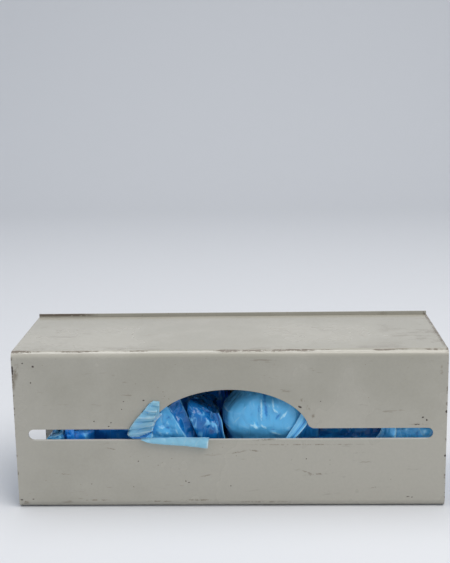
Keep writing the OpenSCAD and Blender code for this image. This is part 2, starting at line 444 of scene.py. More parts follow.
def folded_glove(
    node, seed, counts, leans, depth, squareness=0.6, growth=0.06, slopes=(1, 1), setback=0.0, reaches=(0, 0),
):
    """slopes: the share of the room's height that the glove reaches at its left and right.
    setback: the share of the room's depth that its front leans back by.
    reaches: how far its left and right side are moved along x, in millimetres."""
    low, high = (Vector(corner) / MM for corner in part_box(node))
    low.x += reaches[0]
    high.x += reaches[1]
    middle, half = (low + high) / 2, (high - low) / 2
    rings = []
    for j in range(1, ROWS):
        rise = math.pi * (j / ROWS - 0.5)
        height = (math.sin(rise) + 1) / 2
        ring = []
        for i in range(AROUND):
            turn = 2 * math.pi * i / AROUND
            wander = 0.5 * noise.noise(Vector((1.2 * math.cos(turn), 1.2 * math.sin(turn), rise + 5 * seed)))
            first = pleat(i / AROUND, counts[0], leans[0] * height + wander)
            second = pleat(i / AROUND, counts[1], leans[1] * height - wander)
            share = 1 - depth * (1 - 0.6 * first - 0.4 * second)
            belt = drawn(math.cos(rise), squareness) * share
            ring.append(middle + Vector((
                half.x * belt * drawn(math.cos(turn), squareness),
                half.y * belt * drawn(math.sin(turn), squareness),
                half.z * drawn(math.sin(rise), squareness),
            )))
        rings.append(ring)
    bag = loft("film_" + node, rings)
    finer = bag.modifiers.new("finer", "SUBSURF")
    finer.levels = finer.render_levels = 1
    bpy.ops.object.modifier_apply(modifier="finer")
    for vertex in bag.data.vertices:
        vertex.co *= SIM_SCALE
        # noise_vector isn't seeded here, so the folds come out a little different in each run.
        vertex.co += 0.008 * noise.noise_vector(vertex.co * 3 + Vector((seed, 0, 0)))
    settle(bag, 10, growth=growth, bending=0.06, held_share=0.008, seed=seed, touch=False)
    fit_room(bag, low * MM, high * MM, 1.0)
    for vertex in bag.data.vertices:
        across = (vertex.co.x / MM - low.x) / (high.x - low.x)
        height = (vertex.co.z / MM - low.z) / (high.z - low.z)
        reach = slopes[0] + (slopes[1] - slopes[0]) * across
        vertex.co.z = low.z * MM + (vertex.co.z - low.z * MM) * reach
        vertex.co.y = high.y * MM + (vertex.co.y - high.y * MM) * (1 - setback * smooth((height - 0.3) / 0.4))
    return bag


# %% [markdown]
# One folded glove is at the left of the mouth, two are behind it and four along the slot.
# They differ in the number and lean of their folds, so a table and one function make them all.

# %% How each folded glove differs
FOLDED = {
    "left_mouth_glove": dict(
        seed=2, counts=(4, 2), leans=(1.2, -0.8), depth=0.22, squareness=0.42, slopes=(1.0, 0.74),
    ),
    "rear_left_glove": dict(
        seed=3, counts=(6, 4), leans=(0.9, -0.8), depth=0.3, squareness=0.5, slopes=(1.0, 0.95),
    ),
    "rear_right_glove": dict(seed=5, counts=(6, 4), leans=(0.8, -0.9), depth=0.3),
    "slot_left_glove": dict(
        seed=6, counts=(5, 3), leans=(0.9, -0.7), depth=0.12, squareness=0.3, reaches=(-5.6, 0),
    ),
    "slot_left_end_glove": dict(
        seed=7, counts=(6, 4), leans=(0.8, -0.8), depth=0.16, squareness=0.3, slopes=(0.86, 1.0),
        reaches=(0, -5.9),
    ),
    "slot_right_glove": dict(
        seed=8, counts=(3, 2), leans=(0.2, -0.2), depth=0.08, squareness=0.35, growth=0.01, setback=0.12,
    ),
    "slot_right_end_glove": dict(
        seed=9, counts=(5, 3), leans=(0.7, -0.5), depth=0.12, squareness=0.35,
    ),
}
# The folds that are seen on each front. A glove with none of its own still gets stray ones.
CREASES = {
    "left_mouth_glove": [
        (-31, 92, -11, 60, 3.0, 5.5), (-34, 93, -23, 60, 1.8, 4.0), (-20, 90, -8, 77, 2.0, 4.0),
        (-16, 80, -23, 62, 1.6, 3.0), (-35, 82, -27, 60, 2.2, 4.0), (-24, 76, -12, 70, 1.0, 2.5),
        (-36, 94, -20, 60, 1.0, 1.4), (-32, 95, -16, 60, 0.9, 1.3), (-28, 94, -12, 62, 1.0, 1.4),
        (-24, 94, -8, 66, 0.9, 1.3), (-34, 70, -24, 58, 0.8, 1.3), (-22, 74, -9, 60, 0.8, 1.4),
    ],
    "slot_left_glove": [
        (-126, 71, -113, 59, 2.0, 4.0), (-136, 70, -132, 60, 1.2, 3.0), (-111, 59, -96, 71, 1.5, 6.0),
        (-92, 70, -78, 59, 1.5, 5.0), (-130, 62, -118, 68, -1.0, 3.0),
    ],
    "slot_left_end_glove": [
        (-152, 60, -146, 66, 1.5, 2.5), (-147, 60, -142, 65, 1.2, 2.0), (-143, 66, -139, 59, 1.2, 2.0),
    ],
    "slot_right_end_glove": [
        (143, 59, 146, 68, 1.2, 1.7), (148.5, 59, 145, 68, 1.2, 1.7), (151, 60, 153, 68, 1.0, 1.6),
        (158, 59, 164, 69, 1.2, 3.0), (134, 61, 141, 69, 1.2, 3.0), (153, 60, 149, 65, 0.8, 1.4),
    ],
    "rear_left_glove": [],
    "rear_right_glove": [],
}
STRAY_CREASES = dict(number=7, height=1.2, half_width=4.0)
CRUMPLE_DEPTH = {"left_mouth_glove": 3.5, "slot_left_end_glove": 3.0, "slot_right_end_glove": 7.0}
USUAL_CRUMPLE_DEPTH = 5.5
FRONT_ROOM = {"slot_left_glove": 0.8, "slot_left_end_glove": 0.8}
USUAL_FRONT_ROOM = 2.5
print(len(FOLDED), "folded gloves,", sum(len(lines) for lines in CREASES.values()), "folds placed on them")

# %% [markdown]
# A film glove is two layers welded along their rim, which stays flat where the rest puffs up.
# Such a strip is a thin loft between two curves, joined to its bag as the same piece of film.

# %% Welded rims
RIM_STEPS = 24
RIM_SIDES = 6
RIM_HALF_T = 0.15
# Each rim: the points of its inner and of its outer curve, as x and z, and the y of both curves
RIMS = {
    "left_mouth_glove": (
        [(-16.0, 79.0), (-14.0, 72.0), (-13.0, 64.0), (-13.0, 56.0)],
        [(-9.0, 80.0), (-6.3, 73.0), (-5.2, 64.0), (-3.5, 56.0)],
        -49.5, -51.5,
    ),
    "slot_right_end_glove": (
        [(136, 74), (137, 65), (136, 56)], [(121, 74), (125, 65), (120, 56)], -56.8, -50.0,
    ),
    "slot_right_glove": ([(74, 74), (74, 65), (74, 56)], [(63, 74), (59, 65), (55, 56)], -44.0, -49.0),
    "slot_left_glove": (
        [(-129, 70.5), (-129, 65), (-129, 57)], [(-137, 70), (-137.2, 65), (-137, 57)], -55.5, -51.0,
    ),
    "right_mouth_glove": (
        [(60.5, 84.0), (56.0, 75.0), (51.0, 67.0), (45.0, 57.0)],
        [(67.5, 80.0), (64.5, 73.0), (59.5, 66.0), (52.0, 57.0)],
        -56.4, -56.4,
    ),
}


def join_to(piece, extra):
    """Make an extra mesh part of the piece."""
    deselect()
    extra.select_set(True)
    piece.select_set(True)
    bpy.context.view_layer.objects.active = piece
    bpy.ops.object.join()


def join_rim(piece, inner_points, outer_points, inner_y, outer_y):
    """Add a thin strip of film between two curves to the piece."""
    rings = []
    for j in range(RIM_STEPS + 1):
        t = j / RIM_STEPS
        inner, outer = along_points(inner_points, t), along_points(outer_points, t)
        front, back = [], []
        for i in range(RIM_SIDES + 1):
            share = i / RIM_SIDES
            place = blend(inner, outer, share)
            wave = 1.2 * abs(math.sin(1.5 * math.pi * share))
            y = blend(inner_y, outer_y, share) - wave + 0.3 * math.sin(9 * t)
            front.append(Vector((place.x, y - RIM_HALF_T, place.y)))
            back.append(Vector((place.x, y + RIM_HALF_T, place.y)))
        rings.append(front + back[::-1])
    join_to(piece, loft("rim", rings))


# %% Making room beside the pulled glove
GLOVE_FRONT_Y = -58.2
# The right edge of the pulled glove's body runs from this point up and to the left.
PULLED_EDGE_X, PULLED_EDGE_Z = -27.0, 57.0
PULLED_EDGE_RUN, PULLED_EDGE_RISE = 14.5, 36.0


def pulled_edge_x(z):
    """Where the pulled glove ends on the right, at a height."""
    return PULLED_EDGE_X - PULLED_EDGE_RUN * (max(z, 55.0) - PULLED_EDGE_Z) / PULLED_EDGE_RISE


def lean_left_mouth(bag):
    """This glove leans to the right at its foot, and ends where the pulled glove begins."""
    for vertex in bag.data.vertices:
        px, py, pz = vertex.co / MM
        vertex.co.x += 2.9 * smooth((px + 24) / 12) * smooth((80 - pz) / 12) * MM
        edge_x = pulled_edge_x(pz)
        vertex.co.y = max(vertex.co.y, (GLOVE_FRONT_Y + 4 * smooth((4 - px + edge_x) / 3)) * MM)
        vertex.co.x = max(vertex.co.x, (edge_x + 1.3 - 0.6 * max(0.0, py + 45)) * MM)


def set_back_slot_left(bag):
    """Only the left end of this glove lies close behind the slot. The rest is deep in the shade."""
    for vertex in bag.data.vertices:
        px, py, pz = vertex.co / MM
        vertex.co.y += 12 * smooth((px + 120) / 10) * smooth((-30 - py) / 10) * MM


ADJUSTMENTS = {"left_mouth_glove": lean_left_mouth, "slot_left_glove": set_back_slot_left}

# %% The folded gloves
film_pieces = []
for node, way in FOLDED.items():
    bag = folded_glove(node, **way)
    crumple(bag, way["seed"], CRUMPLE_DEPTH.get(node, USUAL_CRUMPLE_DEPTH))
    if node in CREASES:
        front_y = (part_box(node)[0][1]) / MM
        lines = CREASES[node] + stray_creases(node, way["seed"], **STRAY_CREASES)
        crease(bag, lines, FRONT_ROOM.get(node, USUAL_FRONT_ROOM), front_y)
    if node in ADJUSTMENTS:
        ADJUSTMENTS[node](bag)
    if node in RIMS:
        join_rim(bag, *RIMS[node])
    finish_film(bag, node)
    film_pieces.append(bag)

# %% [markdown]
# The glove at the right of the mouth holds more air than the rest, so it is blown up from a
# finer ball. Its welded rim stands out as a flat strip at its lower right.

# %% The puffed glove at the right of the mouth
PUFFED_CREASES = [
    (26.5, 100, 26, 71, 1.8, 1.7), (34.5, 99, 37, 80, 1.2, 1.6), (27, 100, 4, 76, 2.0, 8.0),
    (31, 98, 50, 72, 1.8, 7.0), (14, 73, 25, 67, 1.2, 2.2), (19, 77, 23, 65, 1.0, 1.8),
    (23, 73, 32, 66, 1.0, 1.8), (35, 86, 42, 79, 1.0, 2.2), (-8, 71, 18, 62, -1.5, 5.0),
    (12, 62, 48, 68, -1.5, 5.0), (45, 92, 37, 68, -1.4, 4.5), (26, 67, 50, 58, 1.2, 2.5),
    (29.5, 95, 31, 72, -1.6, 2.6), (12, 94, 21, 72, -1.0, 5.0), (51, 86, 36, 70, 0.9, 2.0),
]
puffed = heaped_glove(
    "right_mouth_glove", seed=4, flat_axis=1, flatness=0.35, pressure=6, fullness=1.15,
    mesh_level=6, rim=1.2, waviness=0.12, warp=0.15, steps=12,
)
PUFFED_LEFT_X = -9.7
PUFFED_MIDDLE_X = 28
for vertex in puffed.data.vertices:
    px, py, pz = vertex.co / MM
    left_limit = -6.6 + 0.85 * max(0.0, pz - 80)
    if px < PUFFED_MIDDLE_X:
        kept_share = (PUFFED_MIDDLE_X - left_limit) / (PUFFED_MIDDLE_X - PUFFED_LEFT_X)
        vertex.co.x = (PUFFED_MIDDLE_X - (PUFFED_MIDDLE_X - px) * kept_share) * MM
    if py < -20:
        hollow = math.exp(-((px - 30) / 7) ** 2) * smooth((pz - 86) / 10)
        under = smooth((69 - pz) / 12)
        vertex.co.y += (6 * hollow + 5 * under) * MM
crease(puffed, PUFFED_CREASES, 2.0, reach=24.0)
join_rim(puffed, *RIMS["right_mouth_glove"])
finish_film(puffed, "right_mouth_glove")
film_pieces.append(puffed)

# %% [markdown]
# Five wide flat bags fill the casing below the slot. From the front they are hidden, but they
# are seen through the casing's open ends, and they carry the others.

# %% The bottom layer
BED_GLOVES = 5
BED_SEED = 20
BED_CRUMPLE_DEPTH = 6.0
for i in range(1, BED_GLOVES + 1):
    node = "bed_glove_%d" % i
    bag = heaped_glove(node, seed=BED_SEED + i, flat_axis=2, flatness=0.3, pressure=4, fullness=1.4)
    crumple(bag, BED_SEED + i, BED_CRUMPLE_DEPTH)
    finish_film(bag, node)
    film_pieces.append(bag)

# %% [markdown]
# One glove is already pulled half out. Its cuff lies fanned out on the front panel beside the
# mouth, it turns in over the edge of the mouth, and its body widens again behind that edge.
# This is a tube of film on a known path, so it is lofted: rings of points run from the open
# end of the cuff to the heap, and each ring has a front layer and a back layer.

# %% Places that the pulled glove runs past
FILM_CLEAR = 0.35
SLOT_MIDDLE_Z = 64.5
DOME_HALF_W = 66.0
DOME_RISE = 38.0
# The cuff's open end and its free right edge on the panel, from low to high, as x and z
CUFF_END = [
    (-79.5, 60.8), (-83.6, 63.5), (-83.2, 68.5), (-78.5, 76.0), (-72.0, 83.5), (-66.2, 90.5), (-62.0, 93.6),
]
FLAP_EDGE = [
    (-64.0, 61.0), (-63.2, 66.5), (-62.4, 72.0), (-61.6, 77.5), (-60.2, 83.0), (-57.9, 88.5), (-56.8, 92.8),
]


def mouth_edge(v, out):
    """The left edge of the dome, from the slot (v = 0) upwards, moved outwards by out."""
    angle = math.radians(-4 + 44 * v)
    x = -(DOME_HALF_W + out) * math.cos(angle)
    return Vector((x, SLOT_MIDDLE_Z + (DOME_RISE + out) * math.sin(angle)))


# %% The two layers of the pulled glove, ring by ring
V_STEPS = 44
FAN_RINGS = 20
BODY_RINGS = 40
NECK = 0.75             # the share of the mouth's left edge that the film runs over
CUFF_PART, NECK_PART = 0.8, 0.2     # the shares of the film's width at its free cuff and at the mouth
BEHIND_PANEL_Y = -57.9
LYING_CUFF_DEPTH = 4.4
BODY_DEPTH = 33.0


def fan_point(u, v, layer):
    """A point of the cuff on the panel: u from its open end (0) to the mouth's edge (1)."""
    if u < CUFF_PART:
        place = blend(along_points(CUFF_END, v), along_points(FLAP_EDGE, v), u / CUFF_PART)
    else:
        place = blend(along_points(FLAP_EDGE, v), mouth_edge(NECK * v, -0.6), (u - CUFF_PART) / NECK_PART)
    if layer == "back":
        return Vector((place.x, PANEL_Y - FILM_CLEAR, place.y))
    swell = math.sin(math.pi * (0.04 + 0.92 * v)) ** 0.7 * (0.6 + 0.4 * math.sin(math.pi * u))
    room = 0.4 + LYING_CUFF_DEPTH * swell
    room *= 0.35 + 0.65 * smooth((v - 0.08 - 0.08 * u) / 0.08)
    ridge = 0.75 * pleat(v, 6, 0.15 * u) + 0.25 * pleat(v, 14, 0.4 - 0.3 * u)
    return Vector((place.x, PANEL_Y - FILM_CLEAR - room * (0.3 + 0.7 * ridge), place.y))


def body_point(s, v, layer):
    """A point of the glove behind the mouth's edge: s from that edge (0) to the heap (1)."""
    start = mouth_edge(NECK * v, -1.5 if layer == "back" else -2.6)
    if layer == "back":
        place = blend(start, Vector((-64 + 4 * v, 46 + 34 * v)), smooth(s * 1.3 - 0.05))
        return Vector((place.x, -59.3 + BODY_DEPTH * s, place.y))
    behind = mouth_edge(v, 3.0) - Vector((0, 4 * (1 - v) ** 2))
    far = Vector((-34.5 - 16 * v, 57.0 + 29 * v))
    ridge = pleat(v, 4, 0.3 + 0.6 * s) - 0.5
    if s < 0.06:
        return Vector((start.x, blend(-60.4, BEHIND_PANEL_Y, s / 0.06), start.y))
    if s < 0.2:
        place = blend(start, behind, smooth((s - 0.06) / 0.14))
        return Vector((place.x, BEHIND_PANEL_Y, place.y))
    if s < 0.65:
        t = (s - 0.2) / 0.45
        place = blend(behind, far, t)
        set_back = 2.2 * t * t - 2.6 * ridge * smooth(2 * t) * (1 - t)
        return Vector((place.x, BEHIND_PANEL_Y + set_back, place.y))
    top = Vector((PULLED_EDGE_X - PULLED_EDGE_RUN * v, PULLED_EDGE_Z + PULLED_EDGE_RISE * v))
    if s < 0.85:
        t = (s - 0.65) / 0.2
        place = blend(far, top, t)
        set_back = 2.2 + 6 * t ** 0.7 + 2.0 * ridge * math.sin(math.pi * t)
        return Vector((place.x, BEHIND_PANEL_Y + set_back, place.y))
    t = (s - 0.85) / 0.15
    place = blend(top, Vector((-42 - 10 * v, 44 + 36 * v)), t)
    return Vector((place.x, BEHIND_PANEL_Y + 8.2 + 22 * t, place.y))


def ring_of(point, share):
    front = [point(share, i / V_STEPS, "front") for i in range(V_STEPS + 1)]
    back = [point(share, 1 - i / V_STEPS, "back") for i in range(V_STEPS + 1)]
    return front + back


# %% The pulled glove
# The cuff is open, so its first rings lie inside it and make a pocket.
pocket = []
for depth, inset in ((0.32, 0.25), (0.12, 0.12)):
    ring = ring_of(fan_point, depth)
    centre = sum(ring, Vector()) / len(ring)
    pocket.append([blend(p, centre, inset) for p in ring])
rings = pocket + [ring_of(fan_point, i / FAN_RINGS) for i in range(FAN_RINGS + 1)]
rings += [ring_of(body_point, i / BODY_RINGS) for i in range(BODY_RINGS + 1)]
pulled = loft("film_pulled_glove", rings)
BODY_CREASES = [
    (-54, 91, -35, 60, 1.8, 3.5), (-64, 75, -46, 59, 1.8, 3.5), (-59, 84, -40, 59, 1.3, 3.0),
    (-60, 66, -50, 72, 1.2, 2.0), (-50, 80, -38, 59, 1.2, 2.5), (-56, 73, -46, 81, -1.0, 2.5),
    (-62, 70, -54, 60, 1.2, 2.0), (-46, 72, -42, 60, 0.9, 1.8),
]
crease(pulled, BODY_CREASES, 1.2, front_y=BEHIND_PANEL_Y, reach=10.0)
print("pulled glove", len(rings), "rings of", len(rings[0]), "points")

# %% [markdown]
# The cuff's hem is a folded strip that stands out over the slot's lower edge. It is a flat
# tube too: the same loft, with rings that run along the strip.

# %% The hem
HEM_STEPS = 40
HEM_SIDES = 12
HEM_LEFT_X = -73.0
HEM_RIGHT_X = -17.0
HEM_THICKNESS = 0.5
RIPPLE, RIPPLE_SIZE = 0.25, 4


def hem_ring(t):
    x = blend(HEM_LEFT_X, HEM_RIGHT_X, t)
    top = 60.6 + 1.6 * smooth(t * 4) - 0.5 * t + 0.15 * math.sin(14 * t)
    bottom = 60.2 - 1.6 * smooth(t * 9) - 5.2 * t + 0.12 * math.sin(11 * t + 1)
    front, back = [], []
    for i in range(HEM_SIDES + 1):
        v = i / HEM_SIDES
        y = PANEL_Y - FILM_CLEAR - 0.4 - 3.2 * smooth(v) * (0.5 + 0.5 * t) - 0.5 * math.sin(6 * t)
        z = blend(top, bottom, v)
        slant = 1.2 * v * t
        front.append(Vector((x - slant, y - HEM_THICKNESS * math.sin(math.pi * min(max(v, 0.04), 0.96)), z)))
        back.append(Vector((x - slant, y + 0.05, z)))
    return front + back[::-1]


join_to(pulled, loft("hem", [hem_ring(i / HEM_STEPS) for i in range(HEM_STEPS + 1)]))
for vertex in pulled.data.vertices:
    # These fine ripples differ in each run too.
    vertex.co += RIPPLE * MM * noise.noise_vector(vertex.co / (RIPPLE_SIZE * MM))
finish_film(pulled, "pulled_glove")
film_pieces.append(pulled)


# %% [markdown]
# The film is thin, blue and shiny. One layer lets most of the light through, and where many
# lie behind each other the blue gets deeper. So the shader mixes three things: light that
# passes straight through with a tint, light that is spread as it passes, and the film's own
# blue with a sharp shine. Where film is seen edge on it looks denser.

# %% Film material
def film_material(name, opacity, tint, body, crest_highlight_colour, valley_layered_shade_colour, crease_depth=0.012, streaky=1.0):
    """opacity: the share of light that the film itself sends back. tint: what light passing
    through takes on. body is the film's own colour on flat film. The other two are painted:
    a painted highlight on crests and painted shade in valleys, where layers lie together."""
    material, tree, output = new_material(name)
    place = add(tree, "TexCoord").outputs["Object"]
    fold = add(tree, "Attribute")
    fold.attribute_name = "fold"
    crest = ramp(tree, fold.outputs["Fac"], 0.58, 0.85)
    valley = ramp(tree, fold.outputs["Fac"], 0.42, 0.20)
    # Film creases are sharp: where a noise passes through its middle value, it is folded over.
    slanted = add(tree, "Mapping", Vector=place, Rotation=(0, 0.45, 0), Scale=(1.0, 1.0, 0.5))
    height, crease_highlight_lines = 0.0, 0.0
    for scale, weight, line_width in ((48.0, 1.0, 0.016), (130.0, 0.35, 0.02)):
        value = noise_value(tree, slanted.outputs[0], scale, 1.0)
        folded = maths(tree, "ABSOLUTE", maths(tree, "SUBTRACT", value, 0.5))
        height = maths(tree, "ADD", times(tree, folded, weight), height)
        # Along each such fold a thin line is painted paler: a painted highlight.
        line = ramp(tree, folded, 0.0, line_width, 0.3 * weight + 0.1, 0.0)
        crease_highlight_lines = maths(tree, "MAXIMUM", line, crease_highlight_lines)
    patches = noise_value(tree, place, 70.0, 1.0)
    crease_highlight_lines = times(tree, crease_highlight_lines, ramp(tree, patches, 0.42, 0.62, 0.0, streaky))
    bump = add(tree, "Bump", Strength=1.0, Distance=crease_depth, Height=height).outputs[0]
    edge = add(tree, "LayerWeight", Blend=0.35, Normal=bump).outputs["Facing"]
    dense = maths(tree, "ADD", times(tree, edge, 0.35), opacity, clamp=True)
    dense = maths(tree, "ADD", dense, times(tree, crest, 0.15), clamp=True)
    # Crests and the thin fold lines pull the colour towards the crest colour: a painted highlight.
    light = maths(tree, "ADD", times(tree, crest, 0.6), crease_highlight_lines, clamp=True)
    colour = blend_colour(tree, light, body, crest_highlight_colour)
    # Valleys pull it towards the valley colour: painted shade, where layers also lie together.
    colour = blend_colour(tree, times(tree, valley, 0.7), colour, valley_layered_shade_colour)
    surface = add(
        tree, "BsdfPrincipled", Base_Color=colour, Roughness=0.14, IOR=1.5, Normal=bump,
        Specular_IOR_Level=0.6,
    ).outputs[0]
    through = add(tree, "BsdfTransparent", Color=tint).outputs[0]
    spread = add(tree, "BsdfTranslucent", Color=tint, Normal=bump).outputs[0]
    passing = add(tree, "MixShader", i0=0.4, i1=through, i2=spread).outputs[0]
    mix = add(tree, "MixShader", i0=dense, i1=passing, i2=surface)
    tree.links.new(mix.outputs[0], output.inputs["Surface"])
    return material


# %% [markdown]
# The same film looks different by how many layers lie together and how much light they get,
# from nearly clear on the cuff to deep blue behind the panel. So there are six looks of it,
# and the darker ones carry painted shade in their colours.

# %% Six looks of the film
film = film_material(
    "glove film", 0.70, (0.28, 0.76, 0.99, 1), (0.12, 0.55, 1.0, 1),
    (0.55, 0.90, 1.0, 1), (0.01, 0.20, 0.66, 1),
)
# A darker copy for film in the shade behind the panel: its colours are painted shade.
deep_shade_film = film_material(
    "layered film", 0.66, (0.12, 0.66, 0.99, 1), (0.03, 0.42, 0.98, 1),
    (0.22, 0.66, 1.0, 1), (0.005, 0.16, 0.58, 1),
)
cuff_film = film_material(
    "single film", 0.36, (0.66, 0.90, 0.99, 1), (0.46, 0.82, 1.0, 1),
    (0.86, 0.98, 1.0, 1), (0.08, 0.42, 0.82, 1), crease_depth=0.006,
)
taut_film = film_material(
    "taut film", 0.78, (0.28, 0.76, 0.99, 1), (0.14, 0.58, 1.0, 1),
    (0.60, 0.92, 1.0, 1), (0.01, 0.20, 0.66, 1), crease_depth=0.006, streaky=0.6,
)
# A dark copy for film that the light hardly reaches: painted shade, with the density of many layers.
dense_shade_film = film_material(
    "dense film", 0.86, (0.06, 0.5, 0.95, 1), (0.006, 0.18, 0.54, 1),
    (0.24, 0.68, 1.0, 1), (0.002, 0.06, 0.27, 1),
)
# In the shade of the panel the film looks deeper, because all light has passed through blue film.
shaded_film = film_material(
    "shaded film", 0.94, (0.08, 0.5, 0.98, 1), (0.02, 0.32, 1.0, 1),
    (0.22, 0.68, 1.0, 1), (0.004, 0.12, 0.55, 1), crease_depth=0.006, streaky=0.6,
)
print("six looks of the film")

# %% Which glove has which film
# Gloves in shade get the darker looks, whose colours hold painted shade.
FILM_OF = {
    "left_mouth_glove": dense_shade_film, "right_mouth_glove": taut_film, "slot_left_end_glove": taut_film,
    "slot_left_glove": shaded_film, "slot_right_glove": deep_shade_film, "rear_left_glove": shaded_film,
    "rear_right_glove": shaded_film,
}
for piece in film_pieces:
    piece.data.materials.clear()
    piece.data.materials.append(FILM_OF.get(piece.name.removeprefix("film_"), film))
# Light falls in at the casing's open left end, so the film there looks as it does in the mouth.
slot_left = bpy.data.objects["film_slot_left_glove"]
slot_left.data.materials.append(film)
for face in slot_left.data.polygons:
    if face.center.x < -133.0 * MM and face.center.y > -50.0 * MM:
        face.material_index = 1
pulled.data.materials.append(cuff_film)
pulled.data.materials.append(dense_shade_film)
for face in pulled.data.polygons:
    place = face.center / MM
    if place.y > PANEL_Y:
        # Right of this slanting fold the film turns away from the light, so it gets the darker
        # film: painted shade.
        turned_away = place.x > -34.2 - 16 * (place.z - 57) / 29
        face.material_index = 2 if turned_away else 0
        continue
    # The cuff curls under along a curve, and the film below that curve lies in several layers.
    # The band along the curve gets the darker film and the film below it a deeper one than the
    # cuff above: painted shade, where the curl turns from the light.
    above_curl = place.z - (61.4 + 0.03 * (place.x + 78) ** 2)
    on_hem = place.x > -73.2 and place.z < 61.9
    if on_hem or place.x > -60.5 or above_curl > 1.3:
        face.material_index = 1
    elif above_curl > -1.4:
        face.material_index = 2
    else:
        face.material_index = 0


# %% [markdown]
# The casing's paint is grey-beige and semi-gloss, laid on steel. Years of use have chipped it.
# Chips don't fall at random: they sit on the bends and the cut edges, and a few single ones
# are on the panel. The general wear comes from noise that only acts near an edge. The single
# chips are listed one by one, each as a small ellipse whose outline is roughened.

# %% Marks on the front panel
# Each mark: middle x and z, half length and half height, turn in degrees, all in millimetres.
DARK_CHIPS = [
    (-159.8, 123.2, 0.9, 0.7, 0), (-168.3, 126.0, 0.6, 0.5, 0), (-162.3, 109.4, 0.5, 0.6, 0),
    (-86.5, 92.8, 0.7, 0.5, 0), (-88.4, 86.3, 0.4, 0.4, 0), (-70.0, 93.8, 0.8, 0.5, 10),
    (-97.6, 74.8, 0.6, 0.5, 0), (-99.6, 71.5, 0.7, 0.4, 20), (-111.6, 75.9, 0.5, 0.5, 0),
    (-36.9, 23.3, 0.6, 0.5, 0), (-34.4, 22.1, 0.8, 0.4, 0), (-115.6, 20.9, 0.5, 0.4, 0),
    (-80.6, 18.1, 0.6, 0.4, 0), (-76.1, 40.8, 0.5, 0.5, 0), (-165.5, 7.6, 0.8, 0.5, 0),
    (-175.2, 6.9, 1.0, 0.6, 0), (57.8, 87.4, 1.6, 0.8, -30), (74.6, 92.2, 0.5, 0.6, 0),
    (157.8, 77.9, 1.0, 0.6, 30), (161.0, 75.6, 0.8, 0.8, 0), (153.4, 71.9, 2.2, 0.4, 0),
    (63.0, 42.4, 0.5, 0.5, 0), (0.5, 18.7, 0.5, 0.4, 0), (147.0, 8.8, 1.1, 0.4, 0),
    (150.4, 8.4, 0.7, 0.4, 0), (-176.8, 120.0, 0.8, 4.0, 0), (176.9, 82.8, 0.9, 1.2, 0),
    (176.8, 44.8, 0.8, 1.0, 0),
]
BROWN_SMEARS = [
    (-174.3, 117.5, 1.8, 7.0, -10), (-176.3, 108.0, 1.2, 4.0, 0), (30.0, 59.3, 7.5, 0.55, 3),
    (60.0, 93.0, 1.6, 1.0, -35), (64.4, 86.5, 1.2, 2.0, 20), (68.6, 79.5, 1.0, 1.4, 0),
    (73.0, 29.0, 9.0, 0.6, 5), (64.0, 30.5, 4.0, 0.5, -20), (-28.0, 6.3, 12.0, 0.55, 0),
    (-58.0, 5.2, 9.0, 0.45, 0), (28.0, 4.4, 18.0, 0.6, 0), (66.0, 54.9, 36.0, 0.4, 0),
    (6.0, 48.5, 6.0, 0.6, 10), (20.0, 49.8, 4.0, 0.5, -8), (-112.0, 6.4, 8.0, 0.5, 0),
    (154.0, 71.9, 5.0, 0.6, 0), (-60.0, 57.5, 1.8, 0.5, 0), (106.0, 47.5, 3.5, 0.35, 4),
    (-98.0, 52.0, 3.0, 0.4, -12), (120.0, 17.0, 4.0, 0.35, 6), (-172.5, 4.5, 3.0, 1.6, 0),
    (-20.0, 28.0, 4.0, 0.35, 14), (-140.0, 30.0, 5.0, 0.35, -6), (172.0, 118.0, 1.0, 3.0, 0),
]
print(len(DARK_CHIPS), "chips and", len(BROWN_SMEARS), "smears on the front")


def ellipse_mask(tree, place, middle, half, turn, soft):
    """1 inside a small ellipsoid and 0 outside it."""
    local = add(tree, "Mapping", Vector=place, Location=middle, Rotation=(0, turn, 0), Scale=half)
    local.vector_type = "TEXTURE"
    length = add(tree, "VectorMath", i0=local.outputs[0])
    length.operation = "LENGTH"
    return ramp(tree, length.outputs["Value"], 1 - soft, 1 + soft, 1.0, 0.0)


def all_marks(tree, place, marks, soft):
    total = 0.0
    for x, z, half_x, half_z, degrees in marks:
        middle = (x * MM, PANEL_Y * MM, z * MM)
        half = (half_x * MM, 3 * MM, half_z * MM)
        mask = ellipse_mask(tree, place, middle, half, math.radians(-degrees), soft)
        total = maths(tree, "MAXIMUM", mask, total)
    return total


# %% Paint: the chips and smears
paint, tree, output = new_material("stoved paint")
place = add(tree, "TexCoord").outputs["Object"]
axes = add(tree, "SeparateXYZ", Vector=place).outputs
x, y, z = (maths(tree, "DIVIDE", axes[i], MM) for i in range(3))

rough_noise = add(tree, "TexNoise", Vector=place, Scale=900.0, Detail=3.0).outputs["Color"]
centred = add(tree, "VectorMath", i0=rough_noise, i1=(0.5, 0.5, 0.5))
centred.operation = "SUBTRACT"
spread = add(tree, "VectorMath", i0=centred.outputs[0], i1=(0.0016, 0.0016, 0.0016))
spread.operation = "MULTIPLY"
ragged = add(tree, "VectorMath", i0=place, i1=spread.outputs[0])
ragged.operation = "ADD"
ragged = ragged.outputs[0]
chips = all_marks(tree, ragged, DARK_CHIPS, 0.2)
smears = all_marks(tree, ragged, BROWN_SMEARS, 0.9)

speckle = noise_value(tree, place, 260.0, 4.0, 0.65)
smears = times(tree, smears, ramp(tree, speckle, 0.40, 0.56))

print("paint nodes with the marks", len(tree.nodes))

